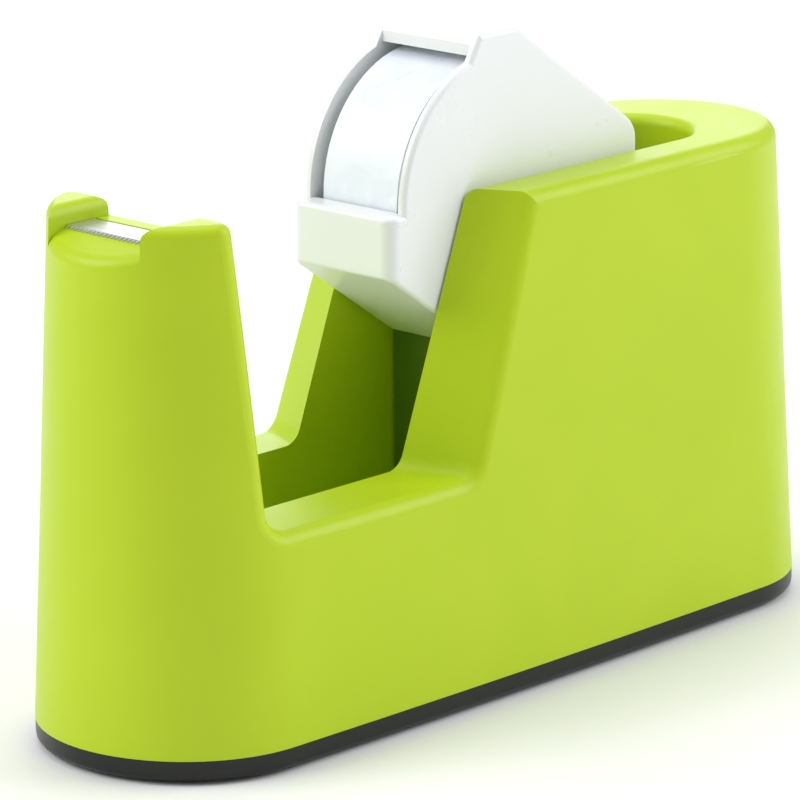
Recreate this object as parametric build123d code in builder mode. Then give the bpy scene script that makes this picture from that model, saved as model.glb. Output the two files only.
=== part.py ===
"""Desk tape dispenser: a weighted moulded body with a serrated blade and a lift-out tape cassette.

Millimetres. The blade is at -X, the tape well at +X, +Z is up, and the origin is the centre of the
footprint on the desk.
"""
import os
from math import cos, pi, radians, sin

from build123d import *

os.makedirs("parts", exist_ok=True)

# Body plan: a long oval that narrows a little with height
BODY_HALF_LENGTH = 94.1  # at desk level
BODY_HALF_WIDTH = 28.9
LENGTH_TAPER = 0.033  # lost from the half length for each mm of height
WIDTH_TAPER = 0.047
SIDE_BULGE = 0.74
END_DEPTH = 27.3  # how far each rounded end reaches along X
SEAM_Z = 4.75  # where the green body meets the black base
TOWER_TOP = 102.4
TOWER_ROOF_Z = 94.0  # inner side of the tower's top
RIM_Z = 96.0
WALL = 2.4
OUTER_ROUND = 3.0
CORNER_ROUND = 4.0  # inside corners of the notch
EAR_ROUND = 2.2
NOSE_ROUND = 2.5  # where the slope in front of the blade meets the tower's face
WELL_ROUND = 2.0

# Notch between the blade tower and the rear housing
NOTCH_Z = 45.2  # floor at the edge of the well
NOTCH_FALL = 0.06  # fall of the floor for each mm outwards
TOWER_REAR_X = -68.9  # tower's rear face at the notch floor
TOWER_LEAN = 0.064  # forward lean of that face for each mm of height
LIP_X = -22.9  # housing's front lip at the notch floor, beside the well
LIP_LEAN = 0.377
LIP_SWEEP = 0.54  # how far the lip falls back for each mm outwards

# Tape well
WELL_HALF_WIDTH = 13.5
WELL_REAR_X = 70.0
WELL_FLOOR_Z = 26.0
WELL_WALL = 2.2

# Blade and its seat between the ears
GAP_HALF_WIDTH = 11.85
SEAT_TOP_Z = 98.8  # flush with the blade
SEAT_Z = 98.3  # under the blade
SEAT_FRONT_X = -83.4  # where the seat breaks into a slope in front of the teeth
SLOPE_FOOT = (-96.0, 94.4)
BLADE_REAR_X = -75.5
TOOTH_TIP_X = -83.9
BLADE_THICKNESS = 0.5
BLADE_WIDTH = 23.3
BLADE_FLANGE_DEPTH = 12.0
TOOTH_COUNT = 22
TOOTH_DEPTH = 0.9
BLADE_SCREW_Y = 7.0
BLADE_SCREW_Z = 90.0
BLADE_SCREW_LENGTH = 3.4
BLADE_RIB = (20.0, 9.0)  # width and height of the rib in front of the flange, for its screws
BLADE_RIB_DEPTH = 2.6
BLADE_HOLE_DEPTH = 3.5

# Base, feet and ballast
BASE_Z = 0.6  # underside, held off the desk by the feet
BASE_PLATE_THICKNESS = 3.0
BASE_INSET = 0.25
BASE_EDGE_RADIUS = 1.6
LIP_TOP_Z = 7.2
FOOT_X = 73.0
FOOT_Y = 13.0
FOOT_RADIUS = 6.0
FOOT_RECESS = 1.2
FOOT_GAP = 0.1
BASE_SCREW_SINK = 1.8
BASE_LIP = 1.8
BASE_LIP_GAP = 0.3
BOSS_X = 53.0
BOSS_Y = 20.0
BOSS_RADIUS = 3.6
BOSS_TOP_Z = 40.0
BOSS_WEB_Z = 20.0  # underside of the web that ties a boss to the walls
BOSS_WEB = 2.0
WELL_UNDERSIDE_Z = 22.0
BALLAST_LENGTH = 128.0
BALLAST_WIDTH = 32.0
BALLAST_BOTTOM_Z = 6.0
BALLAST_TOP_Z = 18.4
BALLAST_SCREW_X = 46.0
BALLAST_BOSS_RADIUS = 4.0
BALLAST_EDGE = 2.0
BALLAST_SINK = 3.0
PAD_LENGTH = 110.0
PAD_WIDTH = 26.0

# Screws: one pan head size throughout
HEAD_RADIUS = 2.6
HEAD_HEIGHT = 1.6
HEAD_ROOM = 0.3
DRIVE = (2.8, 0.7)
DRIVE_DEPTH = 0.8
SCREW_RADIUS = 1.3
PILOT_RADIUS = 1.32
CLEARANCE_RADIUS = 1.7
BASE_SCREW_LENGTH = 12.0
BALLAST_SCREW_LENGTH = 15.0
CRADLE_SCREW_LENGTH = 9.0

# Cassette, placed by the axis that the roll turns on; the other places are measured from that axis
AXIS_X = 6.8
AXIS_Z = 93.9
CASSETTE_HALF_WIDTH = 13.0
PLATE = 1.6
RIM_WALL = 1.1
COVER_DEPTH = 3.2  # plate and rim of the cover together
FLAT_RADIUS = 27.6  # slanting flats
FLAT_ANGLE = radians(34.5)
FRONT_FLAT_X = -31.0
REAR_FLAT_X = 39.0
TOP_FLAT_Z = 30.6
LEDGE_Z = -0.6  # top of the front bar
WINDOW_RADIUS = 27.2
WINDOW_TOP_ANGLE = radians(109.0)
TOP_BAR_FRONT_X = -6.0
FRONT_CORNER_RADIUS = 2.6
EDGE_RADIUS = 1.0
REAR_CORNER_RADIUS = 6.0
AXLE_RADIUS = 6.0
AXLE_BORE_RADIUS = 4.0
PIN_PLACES = ((-28.6, -6.5), (0.0, 28.2), (34.0, 0.0), (0.0, -28.2))
PIN_RADIUS = 1.0
POST_RADIUS = 2.0
PIN_START_Y = 4.0
PIN_END_Y = 12.0
PLUG_START_Y = 3.0

# Hub, core and tape
RUNNING_FIT = 0.06
SNUG_FIT = 0.03
HUB_RADIUS = 12.7
HUB_HALF_WIDTH = 10.4
HUB_WALL = 1.8
CORE_RADIUS = 14.2
TAPE_RADIUS = 25.7
TAPE_HALF_WIDTH = 9.5

# Cradle under the cassette
CRADLE_FRONT_X = 4.0
CRADLE_REAR_X = 46.0
CRADLE_HALF_WIDTH = 12.9
CRADLE_WALL = 2.4
CRADLE_WEB = 2.4
CRADLE_SCREW_X = (16.0, 36.0)

TOUCHING = 0.01
TALL = 130.0  # above everything
WIDE = 34.0  # beyond the body's sides


def oval(height, inset=0.0):
    """The body's plan at a height, moved inwards by inset."""
    end_x = BODY_HALF_LENGTH - LENGTH_TAPER * height - END_DEPTH
    side_y = BODY_HALF_WIDTH - WIDTH_TAPER * height - inset
    depth = END_DEPTH - inset
    with BuildSketch(Plane.XY.offset(height)) as plan:
        with BuildLine():
            ThreePointArc((-end_x, -side_y), (0, -side_y - SIDE_BULGE), (end_x, -side_y))
            EllipticalCenterArc((end_x, 0), depth, side_y, -90, arc_size=180)
            ThreePointArc((end_x, side_y), (0, side_y + SIDE_BULGE), (-end_x, side_y))
            EllipticalCenterArc((-end_x, 0), depth, side_y, 90, arc_size=180)
        make_face()
    return plan.sketch


def open_space(y, drop=0.0):
    """Side view of the open space above the body at a place across it.

    A drop moves the outline down into the body, which gives the inner side of its wall.
    """
    outwards = abs(y) - WELL_HALF_WIDTH
    floor_z = NOTCH_Z - NOTCH_FALL * outwards - drop
    lip_x = LIP_X + LIP_SWEEP * outwards + drop
    tower_x = TOWER_REAR_X - drop
    rim_z = RIM_Z - drop
    beyond_x = BODY_HALF_LENGTH + WIDE
    with BuildSketch(Plane.XZ.offset(-y)) as profile:
        with BuildLine():
            Polyline(
                (tower_x - TOWER_LEAN * (floor_z - NOTCH_Z), floor_z),
                (lip_x + LIP_LEAN * (floor_z - NOTCH_Z), floor_z),
                (lip_x + LIP_LEAN * (rim_z - NOTCH_Z), rim_z),
                (beyond_x, rim_z),
                (beyond_x, TALL),
                (tower_x - TOWER_LEAN * (TALL - NOTCH_Z), TALL),
                close=True,
            )
        make_face()
    return profile.sketch


def well_plan(height, grow=0.0):
    """The well's plan, square in front and round behind, grown outwards on every side."""
    half = WELL_HALF_WIDTH + grow
    front_x = TOWER_REAR_X - grow
    round_x = WELL_REAR_X - WELL_HALF_WIDTH
    with BuildSketch(Plane.XY.offset(height)) as plan:
        with BuildLine():
            Polyline((round_x, -half), (front_x, -half), (front_x, half), (round_x, half))
            ThreePointArc((round_x, -half), (round_x + half, 0), (round_x, half))
        make_face()
    return plan.sketch


def upright(edge):
    """True for an edge that runs nearly straight up."""
    return abs(edge.tangent_at(0.5).Z) > 0.97


def peg(plane, places, radius, length, mode=Mode.ADD):
    """Round pegs, or holes when subtracted, that start on a plane."""
    with BuildSketch(plane) as circles:
        with Locations(*places):
            Circle(radius)
    extrude(circles.sketch, amount=length, mode=mode)


def screws(seat, places, length):
    """Pan head screws whose heads lie under a seat plane and whose shanks run along its normal."""
    top = seat.offset(-HEAD_HEIGHT)
    peg(top, places, HEAD_RADIUS, HEAD_HEIGHT)
    peg(seat, places, SCREW_RADIUS, length)
    with BuildSketch(top) as drive:
        with Locations(*places):
            Rectangle(*DRIVE)
            Rectangle(*DRIVE, rotation=90)
    extrude(drive.sketch, amount=DRIVE_DEPTH, mode=Mode.SUBTRACT)


boss_places = [(x, y) for x in (-BOSS_X, BOSS_X) for y in (-BOSS_Y, BOSS_Y)]
ballast_places = [(-BALLAST_SCREW_X, 0), (BALLAST_SCREW_X, 0)]
cradle_places = [(x, 0) for x in CRADLE_SCREW_X]
blade_places = [(-BLADE_SCREW_Y, BLADE_SCREW_Z), (BLADE_SCREW_Y, BLADE_SCREW_Z)]
rib_rear_x = BLADE_REAR_X - BLADE_THICKNESS
rib_front = Plane(origin=(rib_rear_x - BLADE_RIB_DEPTH, 0, 0), x_dir=(0, 1, 0), z_dir=(1, 0, 0))

# Inside of the moulded body: what is left between its walls, the well and the notch
with BuildPart() as hollow:
    loft([oval(SEAM_Z, WALL), oval(TOWER_TOP, WALL)], ruled=True)
    with BuildSketch(Plane.XY.offset(TOWER_ROOF_Z)):
        Rectangle(2 * BODY_HALF_LENGTH, 2 * WIDE)
    extrude(amount=TALL, mode=Mode.SUBTRACT)
    for side in (-1, 1):
        sections = [open_space(side * WELL_HALF_WIDTH, WALL), open_space(side * WIDE, WALL)]
        loft(sections, ruled=True, mode=Mode.SUBTRACT)
    extrude(open_space(WELL_HALF_WIDTH, WALL), amount=2 * WELL_HALF_WIDTH, mode=Mode.SUBTRACT)
    extrude(well_plan(WELL_UNDERSIDE_Z, WELL_WALL), amount=TALL, mode=Mode.SUBTRACT)

# Moulded body: tower, notch, rear housing and the well that the cassette stands in
with BuildPart() as body_shell:
    loft([oval(SEAM_Z), oval(TOWER_TOP)], ruled=True)
    skin = faces().filter_by(Axis.Z, reverse=True)
    for side in (-1, 1):
        sections = [open_space(side * WELL_HALF_WIDTH), open_space(side * WIDE)]
        loft(sections, ruled=True, mode=Mode.SUBTRACT)
    extrude(open_space(WELL_HALF_WIDTH), amount=2 * WELL_HALF_WIDTH, mode=Mode.SUBTRACT)
    floor_edges = edges().filter_by_position(Axis.Z, NOTCH_Z - OUTER_ROUND, NOTCH_Z + TOUCHING)
    fillet(floor_edges.filter_by(lambda e: abs(e.tangent_at(0.5).Y) > 0.7), CORNER_ROUND)
    outside = edges().filter_by(lambda e: min(f.distance_to(e.center()) for f in skin) < TOUCHING)
    notch_edges = outside.filter_by_position(Axis.Z, NOTCH_Z - OUTER_ROUND, RIM_Z + TOUCHING)
    fillet(notch_edges.filter_by(upright, reverse=True), OUTER_ROUND)

    extrude(well_plan(WELL_FLOOR_Z), amount=TALL, mode=Mode.SUBTRACT)
    with BuildSketch(Plane.XZ) as seat_profile:
        with BuildLine():
            Polyline(
                (TOWER_REAR_X, SEAT_TOP_Z),
                (BLADE_REAR_X, SEAT_TOP_Z),
                (BLADE_REAR_X, SEAT_Z),
                (SEAT_FRONT_X, SEAT_Z),
                SLOPE_FOOT,
                (SLOPE_FOOT[0], TALL),
                (TOWER_REAR_X, TALL),
                close=True,
            )
        make_face()
    extrude(seat_profile.sketch, amount=GAP_HALF_WIDTH, both=True, mode=Mode.SUBTRACT)
    nose_edges = edges().filter_by_position(Axis.X, -BODY_HALF_LENGTH, SEAT_FRONT_X)
    nose_edges = nose_edges.filter_by_position(Axis.Z, SLOPE_FOOT[1], SEAT_Z)
    fillet(nose_edges.filter_by_position(Axis.Y, -TOUCHING, TOUCHING).sort_by(Axis.X)[0], NOSE_ROUND)
    fillet(edges().filter_by_position(Axis.Z, TOWER_TOP - TOUCHING, TOWER_TOP + TOUCHING), EAR_ROUND)

    add(hollow.part, mode=Mode.SUBTRACT)

    # Slit in the tower's top for the blade's flange, and a rib in front of it for the screws
    rib_width, rib_height = BLADE_RIB
    with BuildSketch(Plane.XY.offset(TOWER_ROOF_Z - rib_height)) as rib:
        with Locations((rib_rear_x, 0)):
            Rectangle(BLADE_RIB_DEPTH, rib_width, align=(Align.MAX, Align.CENTER))
    extrude(rib.sketch, amount=rib_height + WALL / 2)
    with BuildSketch(Plane.XY.offset(TOWER_ROOF_Z - rib_height)) as slit:
        with Locations((BLADE_REAR_X, 0)):
            slit_size = (BLADE_THICKNESS + 2 * SNUG_FIT, BLADE_WIDTH + 2 * SNUG_FIT)
            Rectangle(*slit_size, align=(Align.MAX, Align.CENTER))
    extrude(slit.sketch, amount=TALL, mode=Mode.SUBTRACT)
    peg(rib_front, blade_places, CLEARANCE_RADIUS, BLADE_HOLE_DEPTH, Mode.SUBTRACT)

    # Bosses for the base screws, each tied to the walls by a web
    seat_plane = Plane.XY.offset(BASE_Z + BASE_PLATE_THICKNESS)
    peg(seat_plane, boss_places, BOSS_RADIUS, BOSS_TOP_Z - seat_plane.origin.Z)
    with BuildSketch(Plane.XY.offset(BOSS_WEB_Z)) as webs:
        with Locations(*boss_places):
            Rectangle(BOSS_WEB, BODY_HALF_WIDTH - WALL / 2 - WELL_HALF_WIDTH - WELL_WALL / 2)
    extrude(webs.sketch, amount=BOSS_TOP_Z - BOSS_WEB_Z)
    peg(seat_plane, boss_places, PILOT_RADIUS, BASE_SCREW_LENGTH, Mode.SUBTRACT)

    # Bosses under the well floor for the ballast, and the cradle's screw holes
    ballast_top = Plane.XY.offset(BALLAST_TOP_Z)
    peg(ballast_top, ballast_places, BALLAST_BOSS_RADIUS, WELL_UNDERSIDE_Z - BALLAST_TOP_Z)
    peg(ballast_top, ballast_places, PILOT_RADIUS, WELL_UNDERSIDE_Z - BALLAST_TOP_Z + WALL, Mode.SUBTRACT)
    peg(Plane.XY.offset(WELL_UNDERSIDE_Z), cradle_places, CLEARANCE_RADIUS, TALL, Mode.SUBTRACT)

    well_rim = edges().filter_by_position(Axis.Z, RIM_Z - TOUCHING, RIM_Z + TOUCHING)
    fillet(well_rim.filter_by_position(Axis.Y, -WELL_HALF_WIDTH, WELL_HALF_WIDTH), WELL_ROUND)
body_shell.part.label = "body_shell"
export_step(body_shell.part, "parts/body_shell.step")

# Base plate: closes the body from below and shows as a black band
with BuildPart() as base_plate:
    extrude(oval(BASE_Z, BASE_INSET), amount=SEAM_Z - BASE_Z)
    fillet(faces().sort_by(Axis.Z)[0].edges(), BASE_EDGE_RADIUS)
    extrude(oval(SEAM_Z, WALL + BASE_LIP_GAP), amount=LIP_TOP_Z - SEAM_Z)
    floor_z = BASE_Z + BASE_PLATE_THICKNESS
    extrude(
        oval(floor_z, WALL + BASE_LIP_GAP + BASE_LIP), amount=LIP_TOP_Z - floor_z, mode=Mode.SUBTRACT
    )
    with Locations(Plane.XY.offset(BASE_Z).rotated((180, 0, 0))):
        with Locations(*boss_places):
            CounterBoreHole(CLEARANCE_RADIUS, HEAD_RADIUS + HEAD_ROOM, BASE_SCREW_SINK)
    foot_places = [(x, y) for x in (-FOOT_X, FOOT_X) for y in (-FOOT_Y, FOOT_Y)]
    peg(Plane.XY.offset(BASE_Z), foot_places, FOOT_RADIUS, FOOT_RECESS, Mode.SUBTRACT)
base_plate.part.label = "base_plate"
export_step(base_plate.part, "parts/base_plate.step")

with BuildPart() as base_screws:
    screws(Plane.XY.offset(BASE_Z + BASE_SCREW_SINK), boss_places, BASE_SCREW_LENGTH)
base_screws.part.label = "base_screws"
export_step(base_screws.part, "parts/base_screws.step")

# Feet: rubber discs in shallow recesses of the base plate
foot_names = {
    "foot_front_left": (-FOOT_X, -FOOT_Y),
    "foot_front_right": (-FOOT_X, FOOT_Y),
    "foot_rear_left": (FOOT_X, -FOOT_Y),
    "foot_rear_right": (FOOT_X, FOOT_Y),
}
for name, place in foot_names.items():
    with BuildPart() as foot:
        peg(Plane.XY, [place], FOOT_RADIUS - FOOT_GAP, BASE_Z + FOOT_RECESS)
        fillet(faces().sort_by(Axis.Z)[0].edges(), BASE_Z)
    foot.part.label = name
    export_step(foot.part, f"parts/{name}.step")

# Ballast: a cast block screwed up to the underside of the well
with BuildPart() as ballast_block:
    with BuildSketch(Plane.XY.offset(BALLAST_BOTTOM_Z)):
        RectangleRounded(BALLAST_LENGTH, BALLAST_WIDTH, BALLAST_EDGE)
    extrude(amount=BALLAST_TOP_Z - BALLAST_BOTTOM_Z)
    chamfer(faces().sort_by(Axis.Z)[-1].edges(), BALLAST_EDGE / 2)
    with Locations(Plane.XY.offset(BALLAST_BOTTOM_Z).rotated((180, 0, 0))):
        with Locations(*ballast_places):
            CounterBoreHole(CLEARANCE_RADIUS, HEAD_RADIUS + HEAD_ROOM, BALLAST_SINK)
ballast_block.part.label = "ballast_block"
export_step(ballast_block.part, "parts/ballast_block.step")

with BuildPart() as ballast_screws:
    screws(Plane.XY.offset(BALLAST_BOTTOM_Z + BALLAST_SINK), ballast_places, BALLAST_SCREW_LENGTH)
ballast_screws.part.label = "ballast_screws"
export_step(ballast_screws.part, "parts/ballast_screws.step")

with BuildPart() as ballast_pad:
    with BuildSketch(Plane.XY.offset(BASE_Z + BASE_PLATE_THICKNESS)):
        RectangleRounded(PAD_LENGTH, PAD_WIDTH, BALLAST_EDGE)
    extrude(amount=BALLAST_BOTTOM_Z - BASE_Z - BASE_PLATE_THICKNESS)
ballast_pad.part.label = "ballast_pad"
export_step(ballast_pad.part, "parts/ballast_pad.step")

# Blade: a strip bent down behind, with teeth along its front edge
with BuildPart() as blade:
    root_x = TOOTH_TIP_X + TOOTH_DEPTH
    with BuildSketch(Plane.XY.offset(SEAT_Z)) as top:
        with Locations((BLADE_REAR_X, 0)):
            Rectangle(BLADE_REAR_X - root_x, BLADE_WIDTH, align=(Align.MAX, Align.CENTER))
        with Locations((root_x, 0)):
            with GridLocations(0, BLADE_WIDTH / TOOTH_COUNT, 1, TOOTH_COUNT):
                half_pitch = BLADE_WIDTH / TOOTH_COUNT / 2
                Polygon((0, -half_pitch), (0, half_pitch), (-TOOTH_DEPTH, 0), align=None)
    extrude(top.sketch, amount=BLADE_THICKNESS)
    with BuildSketch(Plane.XY.offset(SEAT_Z)) as flange:
        with Locations((BLADE_REAR_X, 0)):
            Rectangle(BLADE_THICKNESS, BLADE_WIDTH, align=(Align.MAX, Align.CENTER))
    extrude(flange.sketch, amount=-BLADE_FLANGE_DEPTH)
    peg(rib_front, blade_places, PILOT_RADIUS, BLADE_HOLE_DEPTH, Mode.SUBTRACT)
blade.part.label = "blade"
export_step(blade.part, "parts/blade.step")

with BuildPart() as blade_screws:
    screws(rib_front, blade_places, BLADE_SCREW_LENGTH)
blade_screws.part.label = "blade_screws"
export_step(blade_screws.part, "parts/blade_screws.step")


def across(y):
    """Plane across the cassette at a place along its axis, with its origin on that axis."""
    return Plane(origin=(AXIS_X, y, AXIS_Z), x_dir=(1, 0, 0), z_dir=(0, -1, 0))


def flat_place(known, near_angle, far_angle, inset):
    """Where a slanting flat crosses a line whose distance from the axis is known."""
    return (FLAT_RADIUS - inset - (known - inset) * near_angle) / far_angle


def cassette_outline(y, inset=0.0):
    """Side view of the cassette: flats all round, and an arc where the window shows the roll."""
    radius = WINDOW_RADIUS - inset
    ledge_z = LEDGE_Z - inset
    arc_end = (radius * cos(WINDOW_TOP_ANGLE), radius * sin(WINDOW_TOP_ANGLE))
    arc_start = (-((radius**2 - ledge_z**2) ** 0.5), ledge_z)
    half_angle = (pi + WINDOW_TOP_ANGLE) / 2
    front_x = FRONT_FLAT_X + inset
    rear_x = REAR_FLAT_X - inset
    top_z = TOP_FLAT_Z - inset
    top_x = flat_place(TOP_FLAT_Z, cos(FLAT_ANGLE), sin(FLAT_ANGLE), inset)
    rear_z = flat_place(REAR_FLAT_X, sin(FLAT_ANGLE), cos(FLAT_ANGLE), inset)
    front_z = flat_place(-FRONT_FLAT_X, sin(FLAT_ANGLE), cos(FLAT_ANGLE), inset)
    with BuildSketch(across(y)) as outline:
        with BuildLine():
            ThreePointArc(arc_start, (radius * cos(half_angle), radius * sin(half_angle)), arc_end)
            Polyline(
                arc_end,
                (TOP_BAR_FRONT_X + inset, top_z),
                (top_x, top_z),
                (rear_x, rear_z),
                (rear_x, -rear_z),
                (top_x, -top_z),
                (-top_x, -top_z),
                (front_x, -front_z),
                (front_x, ledge_z),
                arc_start,
            )
        make_face()
        rear = outline.vertices().filter_by_position(Axis.X, rear_x - TOUCHING, rear_x + TOUCHING)
        fillet(rear, REAR_CORNER_RADIUS - inset)
    return outline.sketch


def cassette_case():
    """Closed case of the cassette with its window, before it is parted into shell and cover."""
    near = -CASSETTE_HALF_WIDTH
    inner_width = 2 * (CASSETTE_HALF_WIDTH - PLATE)
    with BuildPart() as case:
        extrude(cassette_outline(near), amount=-2 * CASSETTE_HALF_WIDTH)
        uprights = faces().sort_by(Axis.X)[0].edges().filter_by(Axis.Z)
        fillet(uprights, FRONT_CORNER_RADIUS)
        front_x = AXIS_X + FRONT_FLAT_X + FRONT_CORNER_RADIUS + TOUCHING
        rims = faces().filter_by(Axis.Y).edges().filter_by(lambda e: e.center().X > front_x)
        fillet(rims, EDGE_RADIUS)
        inside = cassette_outline(near + PLATE, RIM_WALL)
        extrude(inside, amount=-inner_width, mode=Mode.SUBTRACT)
        with BuildSketch(across(near + PLATE)) as window:
            with Locations((TOP_BAR_FRONT_X - RIM_WALL, LEDGE_Z)):
                Rectangle(-FRONT_FLAT_X, TOP_FLAT_Z, align=(Align.MAX, Align.MIN))
        extrude(window.sketch, amount=-inner_width, mode=Mode.SUBTRACT)
    return case.part


inner_y = CASSETTE_HALF_WIDTH - PLATE
parting_y = CASSETTE_HALF_WIDTH - COVER_DEPTH
parting = across(parting_y)
axis_place = [(0, 0)]

# Cassette shell: one side plate, the bars, the rim wall and the tube that the hub turns on
with BuildPart() as cassette_shell:
    add(cassette_case())
    split(bisect_by=parting, keep=Keep.TOP)
    peg(across(-inner_y), axis_place, AXLE_RADIUS, -2 * inner_y)
    peg(across(-inner_y), axis_place, AXLE_BORE_RADIUS, -2 * inner_y, Mode.SUBTRACT)
    peg(across(-inner_y), PIN_PLACES, POST_RADIUS, -inner_y - parting_y)
    peg(across(PIN_START_Y), PIN_PLACES, PIN_RADIUS + SNUG_FIT, PIN_START_Y - parting_y, Mode.SUBTRACT)
cassette_shell.part.label = "cassette_shell"
export_step(cassette_shell.part, "parts/cassette_shell.step")

# Cassette cover: the other side plate, with a plug that enters the axle tube
with BuildPart() as cassette_cover:
    add(cassette_case())
    split(bisect_by=parting, keep=Keep.BOTTOM)
    peg(across(PLUG_START_Y), axis_place, AXLE_BORE_RADIUS - SNUG_FIT, PLUG_START_Y - inner_y)
    peg(parting, PIN_PLACES, POST_RADIUS, parting_y - inner_y)
    peg(parting, PIN_PLACES, PIN_RADIUS + SNUG_FIT, parting_y - PIN_END_Y, Mode.SUBTRACT)
cassette_cover.part.label = "cassette_cover"
export_step(cassette_cover.part, "parts/cassette_cover.step")

with BuildPart() as cassette_pins:
    peg(across(PIN_START_Y), PIN_PLACES, PIN_RADIUS, PIN_START_Y - PIN_END_Y)
cassette_pins.part.label = "cassette_pins"
export_step(cassette_pins.part, "parts/cassette_pins.step")

# Hub: a sleeve on the axle tube, a web and a rim that the core is pushed on
with BuildPart() as hub:
    peg(across(-HUB_HALF_WIDTH), axis_place, HUB_RADIUS, -2 * HUB_HALF_WIDTH)
    for side in (-1, 1):
        with BuildSketch(across(side * HUB_HALF_WIDTH)) as ring:
            Circle(HUB_RADIUS - HUB_WALL)
            Circle(AXLE_RADIUS + HUB_WALL, mode=Mode.SUBTRACT)
        depth = HUB_HALF_WIDTH - HUB_WALL / 2
        extrude(ring.sketch, amount=side * depth, mode=Mode.SUBTRACT)
    peg(across(-HUB_HALF_WIDTH), axis_place, AXLE_RADIUS + RUNNING_FIT, -2 * HUB_HALF_WIDTH, Mode.SUBTRACT)
hub.part.label = "hub"
export_step(hub.part, "parts/hub.step")

with BuildPart() as roll_core:
    peg(across(-TAPE_HALF_WIDTH), axis_place, CORE_RADIUS, -2 * TAPE_HALF_WIDTH)
    peg(across(-TAPE_HALF_WIDTH), axis_place, HUB_RADIUS + SNUG_FIT, -2 * TAPE_HALF_WIDTH, Mode.SUBTRACT)
roll_core.part.label = "roll_core"
export_step(roll_core.part, "parts/roll_core.step")

with BuildPart() as tape_roll:
    peg(across(-TAPE_HALF_WIDTH), axis_place, TAPE_RADIUS, -2 * TAPE_HALF_WIDTH)
    peg(across(-TAPE_HALF_WIDTH), axis_place, CORE_RADIUS + SNUG_FIT, -2 * TAPE_HALF_WIDTH, Mode.SUBTRACT)
tape_roll.part.label = "tape_roll"
export_step(tape_roll.part, "parts/tape_roll.step")


def cradle_profile(y, inset=0.0):
    """Side view of the cradle: its top follows the cassette's lower flats."""
    foot_z = WELL_FLOOR_Z - AXIS_Z + inset
    front_x = CRADLE_FRONT_X - AXIS_X + inset
    rear_x = CRADLE_REAR_X - AXIS_X - inset
    low_z = -TOP_FLAT_Z - inset
    top_x = flat_place(TOP_FLAT_Z, cos(FLAT_ANGLE), sin(FLAT_ANGLE), -inset)
    rear_z = -flat_place(rear_x, sin(FLAT_ANGLE), cos(FLAT_ANGLE), 0) - inset / cos(FLAT_ANGLE)
    with BuildSketch(across(y)) as profile:
        with BuildLine():
            Polyline(
                (front_x, foot_z),
                (rear_x, foot_z),
                (rear_x, rear_z),
                (top_x, low_z),
                (front_x, low_z),
                close=True,
            )
        make_face()
    return profile.sketch


# Cradle: a moulded block in the well, hollowed from both sides, that the cassette rests on
with BuildPart() as cassette_cradle:
    extrude(cradle_profile(-CRADLE_HALF_WIDTH), amount=-2 * CRADLE_HALF_WIDTH)
    for side in (-1, 1):
        pocket = cradle_profile(side * CRADLE_HALF_WIDTH, CRADLE_WALL)
        extrude(pocket, amount=side * (CRADLE_HALF_WIDTH - CRADLE_WEB / 2), mode=Mode.SUBTRACT)
    well_floor = Plane.XY.offset(WELL_FLOOR_Z)
    peg(well_floor, cradle_places, POST_RADIUS + CRADLE_WALL, CRADLE_SCREW_LENGTH)
    peg(well_floor, cradle_places, PILOT_RADIUS, CRADLE_SCREW_LENGTH - CRADLE_WALL, Mode.SUBTRACT)
cassette_cradle.part.label = "cassette_cradle"
export_step(cassette_cradle.part, "parts/cassette_cradle.step")

with BuildPart() as cradle_screws:
    screws(Plane.XY.offset(WELL_UNDERSIDE_Z), cradle_places, CRADLE_SCREW_LENGTH)
cradle_screws.part.label = "cradle_screws"
export_step(cradle_screws.part, "parts/cradle_screws.step")
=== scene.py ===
"""Desk tape dispenser, in the order in which it is put together."""

from math import cos, pi, radians, sin

import bmesh
import bpy
from mathutils import Matrix, Vector


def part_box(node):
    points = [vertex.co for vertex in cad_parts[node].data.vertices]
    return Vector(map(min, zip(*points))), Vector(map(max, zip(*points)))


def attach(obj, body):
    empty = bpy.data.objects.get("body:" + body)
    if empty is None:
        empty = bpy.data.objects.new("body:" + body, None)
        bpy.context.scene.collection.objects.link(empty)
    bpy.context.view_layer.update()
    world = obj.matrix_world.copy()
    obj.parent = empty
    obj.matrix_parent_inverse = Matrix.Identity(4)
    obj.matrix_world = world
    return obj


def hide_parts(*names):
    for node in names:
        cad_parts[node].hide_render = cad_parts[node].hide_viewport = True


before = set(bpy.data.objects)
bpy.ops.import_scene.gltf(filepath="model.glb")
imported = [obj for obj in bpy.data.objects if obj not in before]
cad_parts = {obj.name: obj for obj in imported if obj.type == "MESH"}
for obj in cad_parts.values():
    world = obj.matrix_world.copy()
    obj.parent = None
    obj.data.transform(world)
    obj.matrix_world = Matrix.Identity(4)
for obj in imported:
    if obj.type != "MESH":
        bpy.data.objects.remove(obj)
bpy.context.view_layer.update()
mm = 0.001

# ---- Body shell ----------------------------------------------------------------------------
# One deep injection moulding in lime ABS: the blade tower, the notch, and the housing with the
# well for the cassette. Everything else is fixed to it. The mould is finely spark eroded, so the
# surface leaves it satin, and the pigment flows a little unevenly through such a long part.


def linear(colour):
    """An sRGB hex colour as the linear RGBA that shaders take."""
    parts = [int(colour[i : i + 2], 16) / 255 for i in (1, 3, 5)]
    return [p / 12.92 if p <= 0.04045 else ((p + 0.055) / 1.055) ** 2.4 for p in parts] + [1]


def add(tree, kind, inputs=None, **settings):
    """A node with its settings; an input given a socket is linked to it, or else takes the value."""
    made = tree.nodes.new(kind)
    for name, value in settings.items():
        setattr(made, name, value)
    for name, value in (inputs or {}).items():
        if isinstance(value, bpy.types.NodeSocket):
            tree.links.new(value, made.inputs[name])
        else:
            made.inputs[name].default_value = value
    return made


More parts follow.
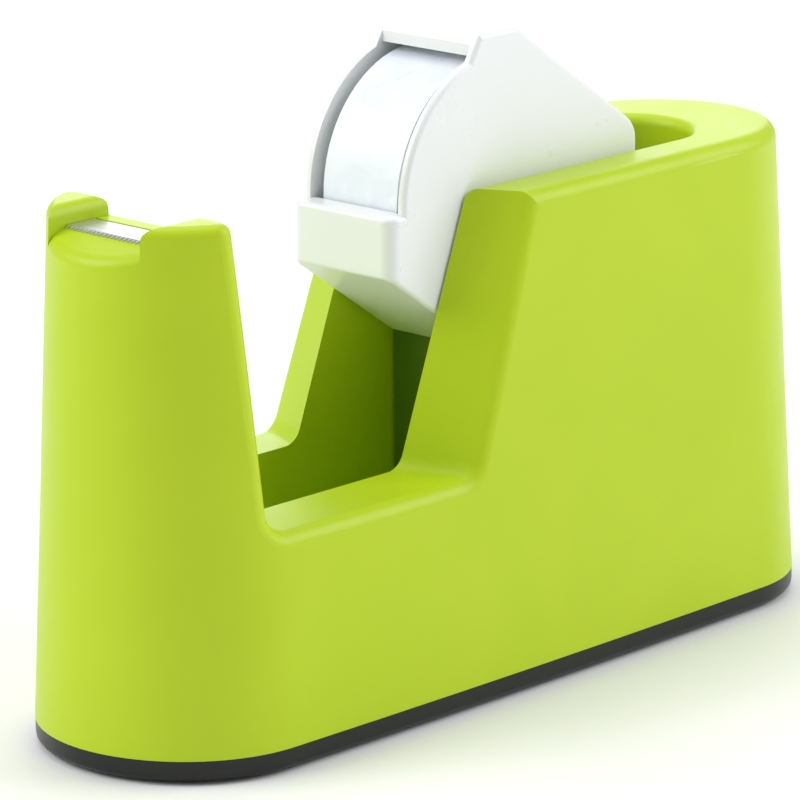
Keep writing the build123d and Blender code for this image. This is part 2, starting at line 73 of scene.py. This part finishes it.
def start_material(name):
    """A new material with an empty tree, and the piece's own coordinates in metres."""
    material = bpy.data.materials.new(name)
    material.use_nodes = True
    material.node_tree.nodes.clear()
    coordinates = add(material.node_tree, "ShaderNodeTexCoord").outputs["Object"]
    return material, material.node_tree, coordinates


def close_material(tree, **sockets):
    """The shader itself. Underscores stand for the spaces in the names of its sockets."""
    named = {name.replace("_", " "): value for name, value in sockets.items()}
    shader = add(tree, "ShaderNodeBsdfPrincipled", named)
    add(tree, "ShaderNodeOutputMaterial", {"Surface": shader.outputs["BSDF"]})


def noise(tree, place, size, detail=2.0, distortion=0.0):
    """A cloudy factor whose patches are about the given size."""
    settings = {"Vector": place, "Scale": 1 / size, "Detail": detail, "Distortion": distortion}
    return add(tree, "ShaderNodeTexNoise", settings).outputs["Fac"]


def ramp(tree, factor, low, low_colour, high, high_colour):
    """Runs from one colour to the other as the factor goes from low to high."""
    made = add(tree, "ShaderNodeValToRGB", {"Fac": factor})
    for stop, position, colour in zip(made.color_ramp.elements, (low, high), (low_colour, high_colour)):
        stop.position, stop.color = position, linear(colour)
    return made.outputs["Color"]


def spread(tree, factor, low, high, **limits):
    """Turns a factor into a value between low and high."""
    settings = {"Value": factor, "To Min": low, "To Max": high}
    settings.update({name.replace("_", " "): value for name, value in limits.items()})
    return add(tree, "ShaderNodeMapRange", settings).outputs["Result"]


def bump(tree, height, depth):
    """A relief of the given depth, as a normal."""
    settings = {"Height": height, "Strength": 1.0, "Distance": depth}
    return add(tree, "ShaderNodeBump", settings).outputs["Normal"]


def moulded(name, body, streak, roughness, grain, depth, ior=1.53, shine=0.5):
    """Moulded plastic: clouded pigment, a satin that varies a little, and the mould's eroded grain."""
    material, tree, place = start_material(name)
    gloss = noise(tree, place, 9 * mm, 4.0)
    close_material(
        tree,
        Base_Color=ramp(tree, noise(tree, place, 38 * mm, 3.0, 0.6), 0.3, streak, 0.7, body),
        Roughness=spread(tree, gloss, roughness - 0.03, roughness + 0.04, From_Min=0.3, From_Max=0.7),
        IOR=ior,
        Specular_IOR_Level=shine,
        Normal=bump(tree, noise(tree, place, grain), depth),
    )
    return material


def paint(material, *names):
    """Gives CAD nodes their finish."""
    for name in names:
        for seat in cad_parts[name].material_slots:
            seat.material = material


# Lime ABS: clear yellow green, soft broad highlights. The eroded grain is 0.1 mm; drawn at 0.5 mm,
# the finest that still shows.
lime_abs = moulded("lime_abs_spark_eroded", "#bad31c", "#b5cf16", 0.38, 0.5 * mm, 0.004 * mm, shine=0.3)
paint(lime_abs, "body_shell")

# ---- Blade ---------------------------------------------------------------------------------
# A strip of stainless steel, blanked with a saw-tooth front edge and folded down behind into a
# flange. It lies on the seat between the ears. The flange goes down through a slit in the tower's
# top, and two screws hold it to a rib inside.
BLADE_THICKNESS = 0.5 * mm
BEND_RADIUS = 0.9 * mm
TOOTH_COUNT = 22
TOOTH_DEPTH = 1.25 * mm
TIP_SHARES = (1.0, 0.05, 0.2)  # what is left of the root's length, width and thickness
TIP_DROP = 0.4  # how far the tip is ground down, as a share of the thickness
blade_low, blade_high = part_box("blade")


def start_tree(name, **sizes):
    """A Geometry Nodes tree with a named input for each size; gives the tree and its input sockets."""
    tree = bpy.data.node_groups.new(name, "GeometryNodeTree")
    tree.interface.new_socket("Geometry", in_out="OUTPUT", socket_type="NodeSocketGeometry")
    tree.interface.new_socket("Geometry", in_out="INPUT", socket_type="NodeSocketGeometry")
    for size, kind in sizes.items():
        tree.interface.new_socket(size.replace("_", " "), in_out="INPUT", socket_type=f"NodeSocket{kind}")
    tree.interface.new_socket("Finish", in_out="INPUT", socket_type="NodeSocketMaterial")
    return tree, add(tree, "NodeGroupInput").outputs


def close_tree(tree, geometry, finish):
    """Ends a tree: instances made real, faces given their finish."""
    real = add(tree, "GeometryNodeRealizeInstances", {"Geometry": geometry})
    painted = add(
        tree, "GeometryNodeSetMaterial", {"Geometry": real.outputs["Geometry"], "Material": finish}
    )
    add(tree, "NodeGroupOutput", {"Geometry": painted.outputs["Geometry"]})


def link_piece(name, mesh):
    """A piece in the scene, with its place in its mesh."""
    piece = bpy.data.objects.new(name, mesh)
    bpy.context.scene.collection.objects.link(piece)
    return piece


def grow(name, tree, mesh, sharp=35, **values):
    """Runs a tree on a mesh, and gives what it makes as a plain piece with smooth rounds."""
    piece = link_piece(name, mesh)
    modifier = piece.modifiers.new("nodes", "NODES")
    modifier.node_group = tree
    for socket in tree.interface.items_tree:
        label = socket.name.replace(" ", "_")
        if socket.in_out == "INPUT" and label in values:
            modifier[socket.identifier] = values[label]
    result = piece.evaluated_get(bpy.context.evaluated_depsgraph_get())
    piece.data = bpy.data.meshes.new_from_object(result)
    piece.modifiers.clear()
    piece.data.name = name
    for face in piece.data.polygons:
        face.use_smooth = True
    piece.data.set_sharp_from_angle(angle=radians(sharp))
    return piece


def fix(piece, body, slot, *stands_for):
    """Ties a piece to its body and hides the CAD nodes that it stands for. The slot is not used."""
    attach(piece, body)
    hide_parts(*stands_for)


# Stainless steel strip: cold rolled, so it is pale grey with faint drawn lines along its length.
# The lines are some 0.02 mm apart; drawn at 0.25 mm so that they show.
LINE_GAP, LINE_LENGTH = 0.25 * mm, 9 * mm
stainless, tree, place = start_material("stainless_steel_cold_rolled")
rolled = add(
    tree, "ShaderNodeMapping", {"Vector": place, "Scale": (1 / LINE_GAP, 1 / LINE_LENGTH, 1 / LINE_GAP)}
)
lines = noise(tree, rolled.outputs["Vector"], 1.0, 4.0)
close_material(
    tree,
    Base_Color=ramp(tree, lines, 0.3, "#c3c4c8", 0.7, "#dadbde"),
    Metallic=1.0,
    Roughness=spread(tree, lines, 0.26, 0.46),
    Normal=bump(tree, lines, 0.003 * mm),
)


def strip(section, y_low, y_high, name):
    """A closed band: a section in X and Z, run straight across from one Y to the other."""
    work = bmesh.new()
    rings = [[work.verts.new((x, y, z)) for x, z in section] for y in (y_low, y_high)]
    count = len(section)
    for i in range(count):
        j = (i + 1) % count
        work.faces.new((rings[0][i], rings[0][j], rings[1][j], rings[1][i]))
    work.faces.new(rings[0])
    work.faces.new(rings[1])
    bmesh.ops.recalc_face_normals(work, faces=work.faces)
    mesh = bpy.data.meshes.new(name)
    work.to_mesh(mesh)
    work.free()
    return mesh


tooth_root_x = blade_low.x + TOOTH_DEPTH
bend = [
    (blade_high.x - BEND_RADIUS + radius * sin(a), blade_high.z - BEND_RADIUS + radius * cos(a))
    for radius, turns in ((BEND_RADIUS, range(0, 7)), (BEND_RADIUS - BLADE_THICKNESS, range(6, -1, -1)))
    for a in [k * pi / 12 for k in turns]
]
blade_section = (
    [(tooth_root_x, blade_high.z)]
    + bend[:7]
    + [(blade_high.x, blade_low.z), (blade_high.x - BLADE_THICKNESS, blade_low.z)]
    + bend[7:]
    + [(tooth_root_x, blade_high.z - BLADE_THICKNESS)]
)

tree, size = start_tree(
    "saw_teeth", Count="Int", Pitch="Float", Depth="Float", Thickness="Float", Root="Vector"
)
tooth_size = add(
    tree, "ShaderNodeCombineXYZ", {"X": size["Depth"], "Y": size["Pitch"], "Z": size["Thickness"]}
)
blank = add(tree, "GeometryNodeMeshCube", {"Size": tooth_size.outputs["Vector"]})
corner = add(tree, "GeometryNodeInputPosition")
parts = add(tree, "ShaderNodeSeparateXYZ", {"Vector": corner.outputs["Position"]})
is_tip = add(
    tree,
    "FunctionNodeCompare",
    {"A": parts.outputs["X"], "B": 0.0},
    data_type="FLOAT",
    operation="LESS_THAN",
)
keen = add(
    tree,
    "ShaderNodeVectorMath",
    {0: corner.outputs["Position"], 1: TIP_SHARES},
    operation="MULTIPLY",
)
low = add(tree, "ShaderNodeMath", {0: size["Thickness"], 1: -TIP_DROP}, operation="MULTIPLY")
drop = add(tree, "ShaderNodeCombineXYZ", {"Z": low.outputs["Value"]})
lowered = add(
    tree,
    "ShaderNodeVectorMath",
    {0: keen.outputs["Vector"], 1: drop.outputs["Vector"]},
    operation="ADD",
)
ground = add(
    tree,
    "GeometryNodeSetPosition",
    {
        "Geometry": blank.outputs["Mesh"],
        "Selection": is_tip.outputs["Result"],
        "Position": lowered.outputs["Vector"],
    },
)
step = add(tree, "ShaderNodeCombineXYZ", {"Y": size["Pitch"]})
row = add(
    tree,
    "GeometryNodeMeshLine",
    {"Count": size["Count"], "Start Location": size["Root"], "Offset": step.outputs["Vector"]},
)
teeth = add(
    tree,
    "GeometryNodeInstanceOnPoints",
    {"Points": row.outputs["Mesh"], "Instance": ground.outputs["Geometry"]},
)
whole = add(tree, "GeometryNodeJoinGeometry", {"Geometry": size["Geometry"]})
tree.links.new(teeth.outputs["Instances"], whole.inputs["Geometry"])
close_tree(tree, whole.outputs["Geometry"], size["Finish"])

pitch = (blade_high.y - blade_low.y) / TOOTH_COUNT
blade = grow(
    "blade_strip",
    tree,
    strip(blade_section, blade_low.y, blade_high.y, "blade_strip"),
    Count=TOOTH_COUNT,
    Pitch=pitch,
    Depth=TOOTH_DEPTH,
    Thickness=BLADE_THICKNESS,
    Root=(
        blade_low.x + TOOTH_DEPTH / 2,
        blade_low.y + pitch / 2,
        blade_high.z - BLADE_THICKNESS / 2,
    ),
    Finish=stainless,
)
fix(blade, "dispenser", "blade_steel", "blade")

# ---- Screws --------------------------------------------------------------------------------
# Zinc plated pan head screws for plastic, all of one diameter: two in the blade, two in the
# cradle, two in the ballast and four in the base. Cold headed, cross recessed, with a rolled thread.
HEAD_RADIUS = 2.6 * mm
HEAD_HEIGHT = 1.6 * mm
SHANK_RADIUS = 1.15 * mm
THREAD_PITCH = 0.9 * mm
THREAD_CREST = 0.22 * mm
POINT_RADIUS = 0.35 * SHANK_RADIUS
RECESS_LENGTH, RECESS_WIDTH, RECESS_DEPTH = 2.8 * mm, 0.7 * mm, 0.8 * mm

# Zinc plating: bright bluish grey, clouded by the passivation in patches about 1 mm across.
zinc, tree, place = start_material("steel_zinc_plated")
patches = noise(tree, place, 1.1 * mm, 5.0)
close_material(
    tree,
    Base_Color=ramp(tree, patches, 0.35, "#a9adb4", 0.7, "#cfd3d8"),
    Metallic=1.0,
    Roughness=spread(tree, patches, 0.2, 0.42),
)


def rounded_disc(tree, radius, height, sides, share, power):
    """A disc from 0 down to minus its height, whose side draws in towards the low end."""
    blank = add(
        tree,
        "GeometryNodeMeshCylinder",
        {"Vertices": sides, "Side Segments": 8, "Radius": radius, "Depth": height},
    )
    corner = add(tree, "GeometryNodeInputPosition").outputs["Position"]
    parts = add(tree, "ShaderNodeSeparateXYZ", {"Vector": corner}).outputs
    level = add(tree, "ShaderNodeMath", {0: parts["Z"], 1: height}, operation="DIVIDE")
    depth = add(tree, "ShaderNodeMath", {0: 0.5, 1: level.outputs["Value"]}, operation="SUBTRACT")
    curve = add(tree, "ShaderNodeMath", {0: depth.outputs["Value"], 1: power}, operation="POWER")
    pull = add(
        tree,
        "ShaderNodeMath",
        {0: curve.outputs["Value"], 1: -share, 2: 1.0},
        operation="MULTIPLY_ADD",
    )
    x = add(tree, "ShaderNodeMath", {0: parts["X"], 1: pull.outputs["Value"]}, operation="MULTIPLY")
    y = add(tree, "ShaderNodeMath", {0: parts["Y"], 1: pull.outputs["Value"]}, operation="MULTIPLY")
    half = add(tree, "ShaderNodeMath", {0: height, 1: -0.5}, operation="MULTIPLY")
    z = add(tree, "ShaderNodeMath", {0: parts["Z"], 1: half.outputs["Value"]}, operation="ADD")
    place = add(
        tree,
        "ShaderNodeCombineXYZ",
        {"X": x.outputs["Value"], "Y": y.outputs["Value"], "Z": z.outputs["Value"]},
    )
    shaped = add(
        tree,
        "GeometryNodeSetPosition",
        {"Geometry": blank.outputs["Mesh"], "Position": place.outputs["Vector"]},
    )
    return shaped.outputs["Geometry"]


def places_mesh(name, places):
    """A mesh of loose points, for a tree to set its instances on."""
    mesh = bpy.data.meshes.new(name)
    mesh.from_pydata(places, [], [])
    return mesh


screw_tree, size = start_tree(
    "pan_head_screws",
    Length="Float",
    Head_Radius="Float",
    Head_Height="Float",
    Shank_Radius="Float",
    Thread_Pitch="Float",
    Turn="Rotation",
)
tree = screw_tree
head = rounded_disc(tree, size["Head Radius"], size["Head Height"], 32, 0.28, 6.0)
sunk = add(tree, "ShaderNodeMath", {0: size["Head Height"], 1: -1.0}, operation="MULTIPLY")
sunk_place = add(tree, "ShaderNodeCombineXYZ", {"Z": sunk.outputs["Value"]})
cut = head
for across in ((RECESS_LENGTH, RECESS_WIDTH), (RECESS_WIDTH, RECESS_LENGTH)):
    slot_block = add(tree, "GeometryNodeMeshCube", {"Size": (*across, 2 * RECESS_DEPTH)})
    moved = add(
        tree,
        "GeometryNodeTransform",
        {"Geometry": slot_block.outputs["Mesh"], "Translation": sunk_place.outputs["Vector"]},
    )
    bored = add(tree, "GeometryNodeMeshBoolean", {"Mesh 1": cut}, operation="DIFFERENCE", solver="EXACT")
    tree.links.new(moved.outputs["Geometry"], bored.inputs["Mesh 2"])
    cut = bored.outputs["Mesh"]
core = add(
    tree,
    "GeometryNodeMeshCone",
    {
        "Vertices": 20,
        "Side Segments": 6,
        "Radius Top": POINT_RADIUS,
        "Radius Bottom": size["Shank Radius"],
        "Depth": size["Length"],
    },
)
helix_turns = add(
    tree, "ShaderNodeMath", {0: size["Length"], 1: size["Thread Pitch"]}, operation="DIVIDE"
)
helix = add(
    tree,
    "GeometryNodeCurveSpiral",
    {
        "Resolution": 20,
        "Rotations": helix_turns.outputs["Value"],
        "Start Radius": size["Shank Radius"],
        "End Radius": POINT_RADIUS,
        "Height": size["Length"],
    },
)
crest = add(
    tree, "GeometryNodeCurvePrimitiveCircle", {"Resolution": 3, "Radius": THREAD_CREST}, mode="RADIUS"
)
thread = add(
    tree,
    "GeometryNodeCurveToMesh",
    {"Curve": helix.outputs["Curve"], "Profile Curve": crest.outputs["Curve"], "Fill Caps": True},
)
screw = add(tree, "GeometryNodeJoinGeometry")
for part in (cut, core.outputs["Mesh"], thread.outputs["Mesh"]):
    tree.links.new(part, screw.inputs["Geometry"])
row = add(tree, "GeometryNodeMeshToPoints", {"Mesh": size["Geometry"]})
set_screws = add(
    tree,
    "GeometryNodeInstanceOnPoints",
    {
        "Points": row.outputs["Points"],
        "Instance": screw.outputs["Geometry"],
        "Rotation": size["Turn"],
    },
)
close_tree(tree, set_screws.outputs["Instances"], size["Finish"])


def drive_screws(name, node, along, turn):
    """Screws where a CAD node has them: its loose bodies give their places and their length."""
    low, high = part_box(node)
    apart = [k for k in range(3) if k != along and high[k] - low[k] > 3 * HEAD_RADIUS]
    bodies = {}
    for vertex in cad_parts[node].data.vertices:
        key = tuple(vertex.co[k] > (low[k] + high[k]) / 2 for k in apart)
        bodies.setdefault(key, []).append(vertex.co)
    places = []
    for corners in bodies.values():
        start = [min(corner[k] for corner in corners) for k in range(3)]
        end = [max(corner[k] for corner in corners) for k in range(3)]
        place = [(start[k] + end[k]) / 2 for k in range(3)]
        place[along] = start[along] + HEAD_HEIGHT
        places.append(place)
    length = high[along] - low[along] - HEAD_HEIGHT
    return grow(
        name,
        screw_tree,
        places_mesh(name, places),
        Length=length,
        Head_Radius=HEAD_RADIUS,
        Head_Height=HEAD_HEIGHT,
        Shank_Radius=SHANK_RADIUS,
        Thread_Pitch=THREAD_PITCH,
        Turn=turn,
        Finish=zinc,
    )


UPRIGHT, REARWARD = (2, (0.0, 0.0, 0.0)), (0, (0.0, pi / 2, 0.0))
for name, (along, turn) in {
    "blade_screws": REARWARD,
    "cradle_screws": UPRIGHT,
    "ballast_screws": UPRIGHT,
    "base_screws": UPRIGHT,
}.items():
    fix(drive_screws(f"{name}_driven", name, along, turn), "dispenser", "screw_steel", name)

# ---- Cradle --------------------------------------------------------------------------------
# A ribbed block moulded in dark green ABS, screwed to the well floor from below. The cassette's
# lower flats rest on it, and it hides deep in the well, so it is plainer than the body.
dark_abs = moulded("dark_green_abs", "#5a7a20", "#537219", 0.5, 0.6 * mm, 0.006 * mm)
paint(dark_abs, "cassette_cradle")

# ---- Ballast -------------------------------------------------------------------------------
# A block of grey iron, sand cast and dipped in thin black paint, screwed up under the well. It
# gives the dispenser the weight to stay put when tape is pulled.
cast_iron, tree, place = start_material("grey_iron_sand_cast")
grains = add(tree, "ShaderNodeTexVoronoi", {"Vector": place, "Scale": 1 / (0.9 * mm)})
close_material(
    tree,
    Base_Color=ramp(tree, noise(tree, place, 7 * mm, 6.0), 0.35, "#3d3c3b", 0.7, "#55534f"),
    Metallic=0.4,
    Roughness=0.72,
    Normal=bump(tree, grains.outputs["Distance"], 0.12 * mm),
)
paint(cast_iron, "ballast_block")

# ---- Foam pad ------------------------------------------------------------------------------
# A strip of black polyurethane foam, die cut and laid between the ballast and the base plate so
# that nothing rattles. The plates squeeze it, so its sides belly out a little.
FOAM_CUT = 2.0 * mm  # radius of its corners
FOAM_BELLY = 0.6 * mm
foam, tree, place = start_material("polyurethane_foam")
cells = add(tree, "ShaderNodeTexVoronoi", {"Vector": place, "Scale": 1 / (0.6 * mm)}).outputs["Distance"]
close_material(
    tree,
    Base_Color=ramp(tree, cells, 0.0, "#141414", 1.0, "#3a3a3a"),
    Roughness=0.95,
    Normal=bump(tree, cells, 0.2 * mm),
)

foam_low, foam_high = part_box("ballast_pad")
work = bmesh.new()
middle = (foam_low + foam_high) / 2
span = foam_high - foam_low
bmesh.ops.create_cube(work, size=1.0, matrix=Matrix.Translation(middle) @ Matrix.Diagonal((*span, 1.0)))


def uprights(work):
    """The edges that stand up."""
    return [e for e in work.edges if abs(e.verts[0].co.z - e.verts[1].co.z) > mm]


bmesh.ops.bevel(work, geom=uprights(work), offset=FOAM_CUT, segments=4, affect="EDGES")
bmesh.ops.subdivide_edges(work, edges=uprights(work), cuts=5)
for vertex in work.verts:
    height = (vertex.co.z - middle.z) / (span.z / 2)
    for k in (0, 1):
        offset = vertex.co[k] - middle[k]
        if abs(offset) > span[k] / 2 - FOAM_CUT - 0.01 * mm:
            vertex.co[k] -= FOAM_BELLY * height * height * (1 if offset > 0 else -1)
bmesh.ops.recalc_face_normals(work, faces=work.faces)
foam_mesh = bpy.data.meshes.new("foam_pad")
work.to_mesh(foam_mesh)
work.free()
foam_mesh.materials.append(foam)
for face in foam_mesh.polygons:
    face.use_smooth = True
foam_mesh.set_sharp_from_angle(angle=radians(40))
foam_pad = link_piece("foam_pad", foam_mesh)
fix(foam_pad, "dispenser", "foam", "ballast_pad")

# ---- Base plate ----------------------------------------------------------------------------
# A shallow tray moulded in black ABS that closes the body from below and shows as a dark band
# around its foot. A lip inside centres it, and four screws from below hold it.
black_abs = moulded("black_abs_spark_eroded", "#161817", "#111312", 0.34, 0.5 * mm, 0.004 * mm, shine=0.35)
paint(black_abs, "base_plate")

# ---- Feet ----------------------------------------------------------------------------------
# Four discs of black rubber, pressed into shallow recesses of the base plate and glued. Two
# moulded rings under each give grip, and the rubber is dull with a bloom of dust.
FOOT_RIDGE = 0.3 * mm
RING_SHARES = (0.32, 0.68)  # radii of the rings, as shares of the foot's
rubber, tree, place = start_material("black_rubber")
close_material(
    tree,
    Base_Color=ramp(tree, noise(tree, place, 2.5 * mm, 6.0), 0.4, "#181818", 0.75, "#323130"),
    Roughness=0.85,
    Normal=bump(tree, noise(tree, place, 0.3 * mm), 0.02 * mm),
)

tree, size = start_tree("rubber_feet", Radius="Float", Height="Float", Ridge="Float")
foot_height = add(tree, "ShaderNodeMath", {0: size["Height"], 1: size["Ridge"]}, operation="SUBTRACT")
disc = rounded_disc(tree, size["Radius"], foot_height.outputs["Value"], 48, 0.08, 8.0)
ridge_drop = add(
    tree, "ShaderNodeMath", {0: foot_height.outputs["Value"], 1: -1.0}, operation="MULTIPLY"
)
ridge_place = add(tree, "ShaderNodeCombineXYZ", {"Z": ridge_drop.outputs["Value"]})
foot = add(tree, "GeometryNodeJoinGeometry", {"Geometry": disc})
bead = add(
    tree, "GeometryNodeCurvePrimitiveCircle", {"Resolution": 10, "Radius": size["Ridge"]}, mode="RADIUS"
)
for share in RING_SHARES:
    ring_radius = add(tree, "ShaderNodeMath", {0: size["Radius"], 1: share}, operation="MULTIPLY")
    ring = add(
        tree,
        "GeometryNodeCurvePrimitiveCircle",
        {"Resolution": 48, "Radius": ring_radius.outputs["Value"]},
        mode="RADIUS",
    )
    round_bead = add(
        tree,
        "GeometryNodeCurveToMesh",
        {"Curve": ring.outputs["Curve"], "Profile Curve": bead.outputs["Curve"]},
    )
    lowered = add(
        tree,
        "GeometryNodeTransform",
        {"Geometry": round_bead.outputs["Mesh"], "Translation": ridge_place.outputs["Vector"]},
    )
    tree.links.new(lowered.outputs["Geometry"], foot.inputs["Geometry"])
row = add(tree, "GeometryNodeMeshToPoints", {"Mesh": size["Geometry"]})
set_feet = add(
    tree,
    "GeometryNodeInstanceOnPoints",
    {"Points": row.outputs["Points"], "Instance": foot.outputs["Geometry"]},
)
close_tree(tree, set_feet.outputs["Instances"], size["Finish"])
foot_nodes = ("foot_front_left", "foot_front_right", "foot_rear_left", "foot_rear_right")
foot_boxes = [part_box(name) for name in foot_nodes]
feet = grow(
    "rubber_feet",
    tree,
    places_mesh("rubber_feet", [((a.x + b.x) / 2, (a.y + b.y) / 2, b.z) for a, b in foot_boxes]),
    Radius=(foot_boxes[0][1].x - foot_boxes[0][0].x) / 2,
    Height=foot_boxes[0][1].z - foot_boxes[0][0].z,
    Ridge=FOOT_RIDGE,
    Finish=rubber,
)
fix(feet, "dispenser", "foot_rubber", *foot_nodes)

# ---- Roll of tape --------------------------------------------------------------------------
# Clear film, wound under tension on a cardboard core, so that its many layers read as one milky,
# bluish white block with a fine spiral on each side. The core is pushed on a plastic hub.
LAYER_TURNS = 42
LAYER_GAP = 0.03 * mm
roll_low, roll_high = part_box("tape_roll")
core_low, core_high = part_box("roll_core")
axis = (roll_low + roll_high) / 2

# Cellulose film: shiny, with cloudy patches where air is caught between the layers.
film, tree, place = start_material("cellulose_film_wound")
air = noise(tree, place, 7 * mm, 5.0, 1.2)
close_material(
    tree,
    Base_Color=ramp(tree, air, 0.3, "#eaf1fa", 0.7, "#f4f9ff"),
    Roughness=spread(tree, air, 0.22, 0.38),
    IOR=1.47,
    Normal=bump(tree, air, 0.01 * mm),
)

tree, size = start_tree(
    "wound_film",
    Turns="Float",
    Inner_Radius="Float",
    Outer_Radius="Float",
    Width="Float",
    Layer="Float",
    Axis="Vector",
)
spiral = add(
    tree,
    "GeometryNodeCurveSpiral",
    {
        "Resolution": 72,
        "Rotations": size["Turns"],
        "Start Radius": size["Inner Radius"],
        "End Radius": size["Outer Radius"],
        "Height": 0.0,
    },
)
section = add(
    tree,
    "GeometryNodeCurvePrimitiveQuadrilateral",
    {"Width": size["Layer"], "Height": size["Width"]},
)
wound = add(
    tree,
    "GeometryNodeCurveToMesh",
    {"Curve": spiral.outputs["Curve"], "Profile Curve": section.outputs["Curve"], "Fill Caps": True},
)
upright = add(
    tree,
    "GeometryNodeTransform",
    {"Geometry": wound.outputs["Mesh"], "Rotation": (pi / 2, 0.0, 0.0), "Translation": size["Axis"]},
)
close_tree(tree, upright.outputs["Geometry"], size["Finish"])
outer_radius = (roll_high.x - roll_low.x) / 2
inner_radius = (core_high.x - core_low.x) / 2 + 0.05 * mm
layer = (outer_radius - inner_radius) / LAYER_TURNS - LAYER_GAP
roll = grow(
    "tape_roll_wound",
    tree,
    bpy.data.meshes.new("tape_roll_wound"),
    Turns=float(LAYER_TURNS - 1),
    Inner_Radius=inner_radius + layer / 2,
    Outer_Radius=outer_radius - layer / 2,
    Width=roll_high.y - roll_low.y,
    Layer=layer,
    Axis=axis,
    Finish=film,
)
fix(roll, "roll", "tape_film", "tape_roll")

# Cardboard core: grey kraft paper wound in a spiral, with fibres about 1 mm long.
board, tree, place = start_material("kraft_board_spiral_wound")
fibres = noise(tree, place, 0.8 * mm, 6.0, 2.0)
close_material(
    tree,
    Base_Color=ramp(tree, fibres, 0.3, "#b79f78", 0.75, "#d3c3a1"),
    Roughness=0.88,
    Normal=bump(tree, fibres, 0.03 * mm),
)
paint(board, "roll_core")

hub_plastic = moulded("white_polystyrene_hub", "#e9ebe9", "#e4e7e4", 0.42, 0.5 * mm, 0.004 * mm, 1.59)
paint(hub_plastic, "hub")

# ---- Cassette ------------------------------------------------------------------------------
# A shell and a cover moulded in white polystyrene and pinned together around the roll. It lifts
# out of the well for refilling. The polish of its mould is fine, so its edges catch the light.
white_styrene = moulded("white_polystyrene", "#eff1f1", "#ecefee", 0.3, 0.5 * mm, 0.003 * mm, 1.59)
paint(white_styrene, "cassette_shell", "cassette_cover")
paint(zinc, "cassette_pins")

# ---- Floor, light and camera ---------------------------------------------------------------
# A sheet of matt white laminate under four large soft lights and an even pale surround, as in a
# product studio. No light stands near the camera, so the well and the slot stay dark.
FLOOR_REACH = 6.0
laminate, tree, place = start_material("white_laminate")
haze = noise(tree, place, 120 * mm, 3.0)
close_material(tree, Base_Color=ramp(tree, haze, 0.0, "#f3f3f3", 1.0, "#f8f8f8"), Roughness=0.8)
floor_mesh = bpy.data.meshes.new("floor")
floor_corners = [(x * FLOOR_REACH, y * FLOOR_REACH, 0) for x, y in ((-1, -1), (1, -1), (1, 1), (-1, 1))]
floor_mesh.from_pydata(floor_corners, [], [(0, 1, 2, 3)])
floor_mesh.materials.append(laminate)
floor = link_piece("floor", floor_mesh)

world = bpy.data.worlds.new("pale_surround")
bpy.context.scene.world = world
world.use_nodes = True
world.node_tree.nodes["Background"].inputs["Color"].default_value = linear("#fbfcff")
world.node_tree.nodes["Background"].inputs["Strength"].default_value = 0.44


def softbox(name, place, size, power):
    """A square soft light that looks at the middle of the dispenser."""
    lamp = bpy.data.lights.new(name, "AREA")
    lamp.size = size
    lamp.energy = power
    light = bpy.data.objects.new(name, lamp)
    light.location = place
    light.rotation_euler = (Vector((0, 0, 0.05)) - Vector(place)).to_track_quat("-Z", "Y").to_euler()
    bpy.context.scene.collection.objects.link(light)


softbox("key_light", (-1.2, 0.9, 1.1), 1.2, 19)
softbox("side_light", (1.1, -1.0, 0.9), 1.2, 16)
softbox("top_light", (0.2, 0.3, 1.9), 1.4, 12)
softbox("rear_light", (1.5, 1.4, 0.7), 1.2, 8)
bpy.context.scene.view_settings.view_transform = "Standard"

AZIMUTH, ELEVATION, ROLL = radians(-46.612), radians(14.944), radians(-0.394)
back = Vector((sin(AZIMUTH) * cos(ELEVATION), -cos(AZIMUTH) * cos(ELEVATION), sin(ELEVATION)))
level = Vector((cos(AZIMUTH), sin(AZIMUTH), 0))
above = back.cross(level)
right = level * cos(ROLL) + above * sin(ROLL)
up = above * cos(ROLL) - level * sin(ROLL)
AIM = Vector((0, 0, 50.2 * mm))
DISTANCE, SHIFT_LEFT, SHIFT_UP = 1001.5 * mm, 5.616 * mm, 1.426 * mm
camera_data = bpy.data.cameras.new("camera")
camera_data.sensor_width = 36
camera_data.lens = 234.2
camera = bpy.data.objects.new("camera", camera_data)
spot = AIM + back * DISTANCE - right * SHIFT_LEFT + up * SHIFT_UP
camera.matrix_world = Matrix.Translation(spot) @ Matrix((right, up, back)).transposed().to_4x4()
bpy.context.scene.collection.objects.link(camera)
bpy.context.scene.camera = camera
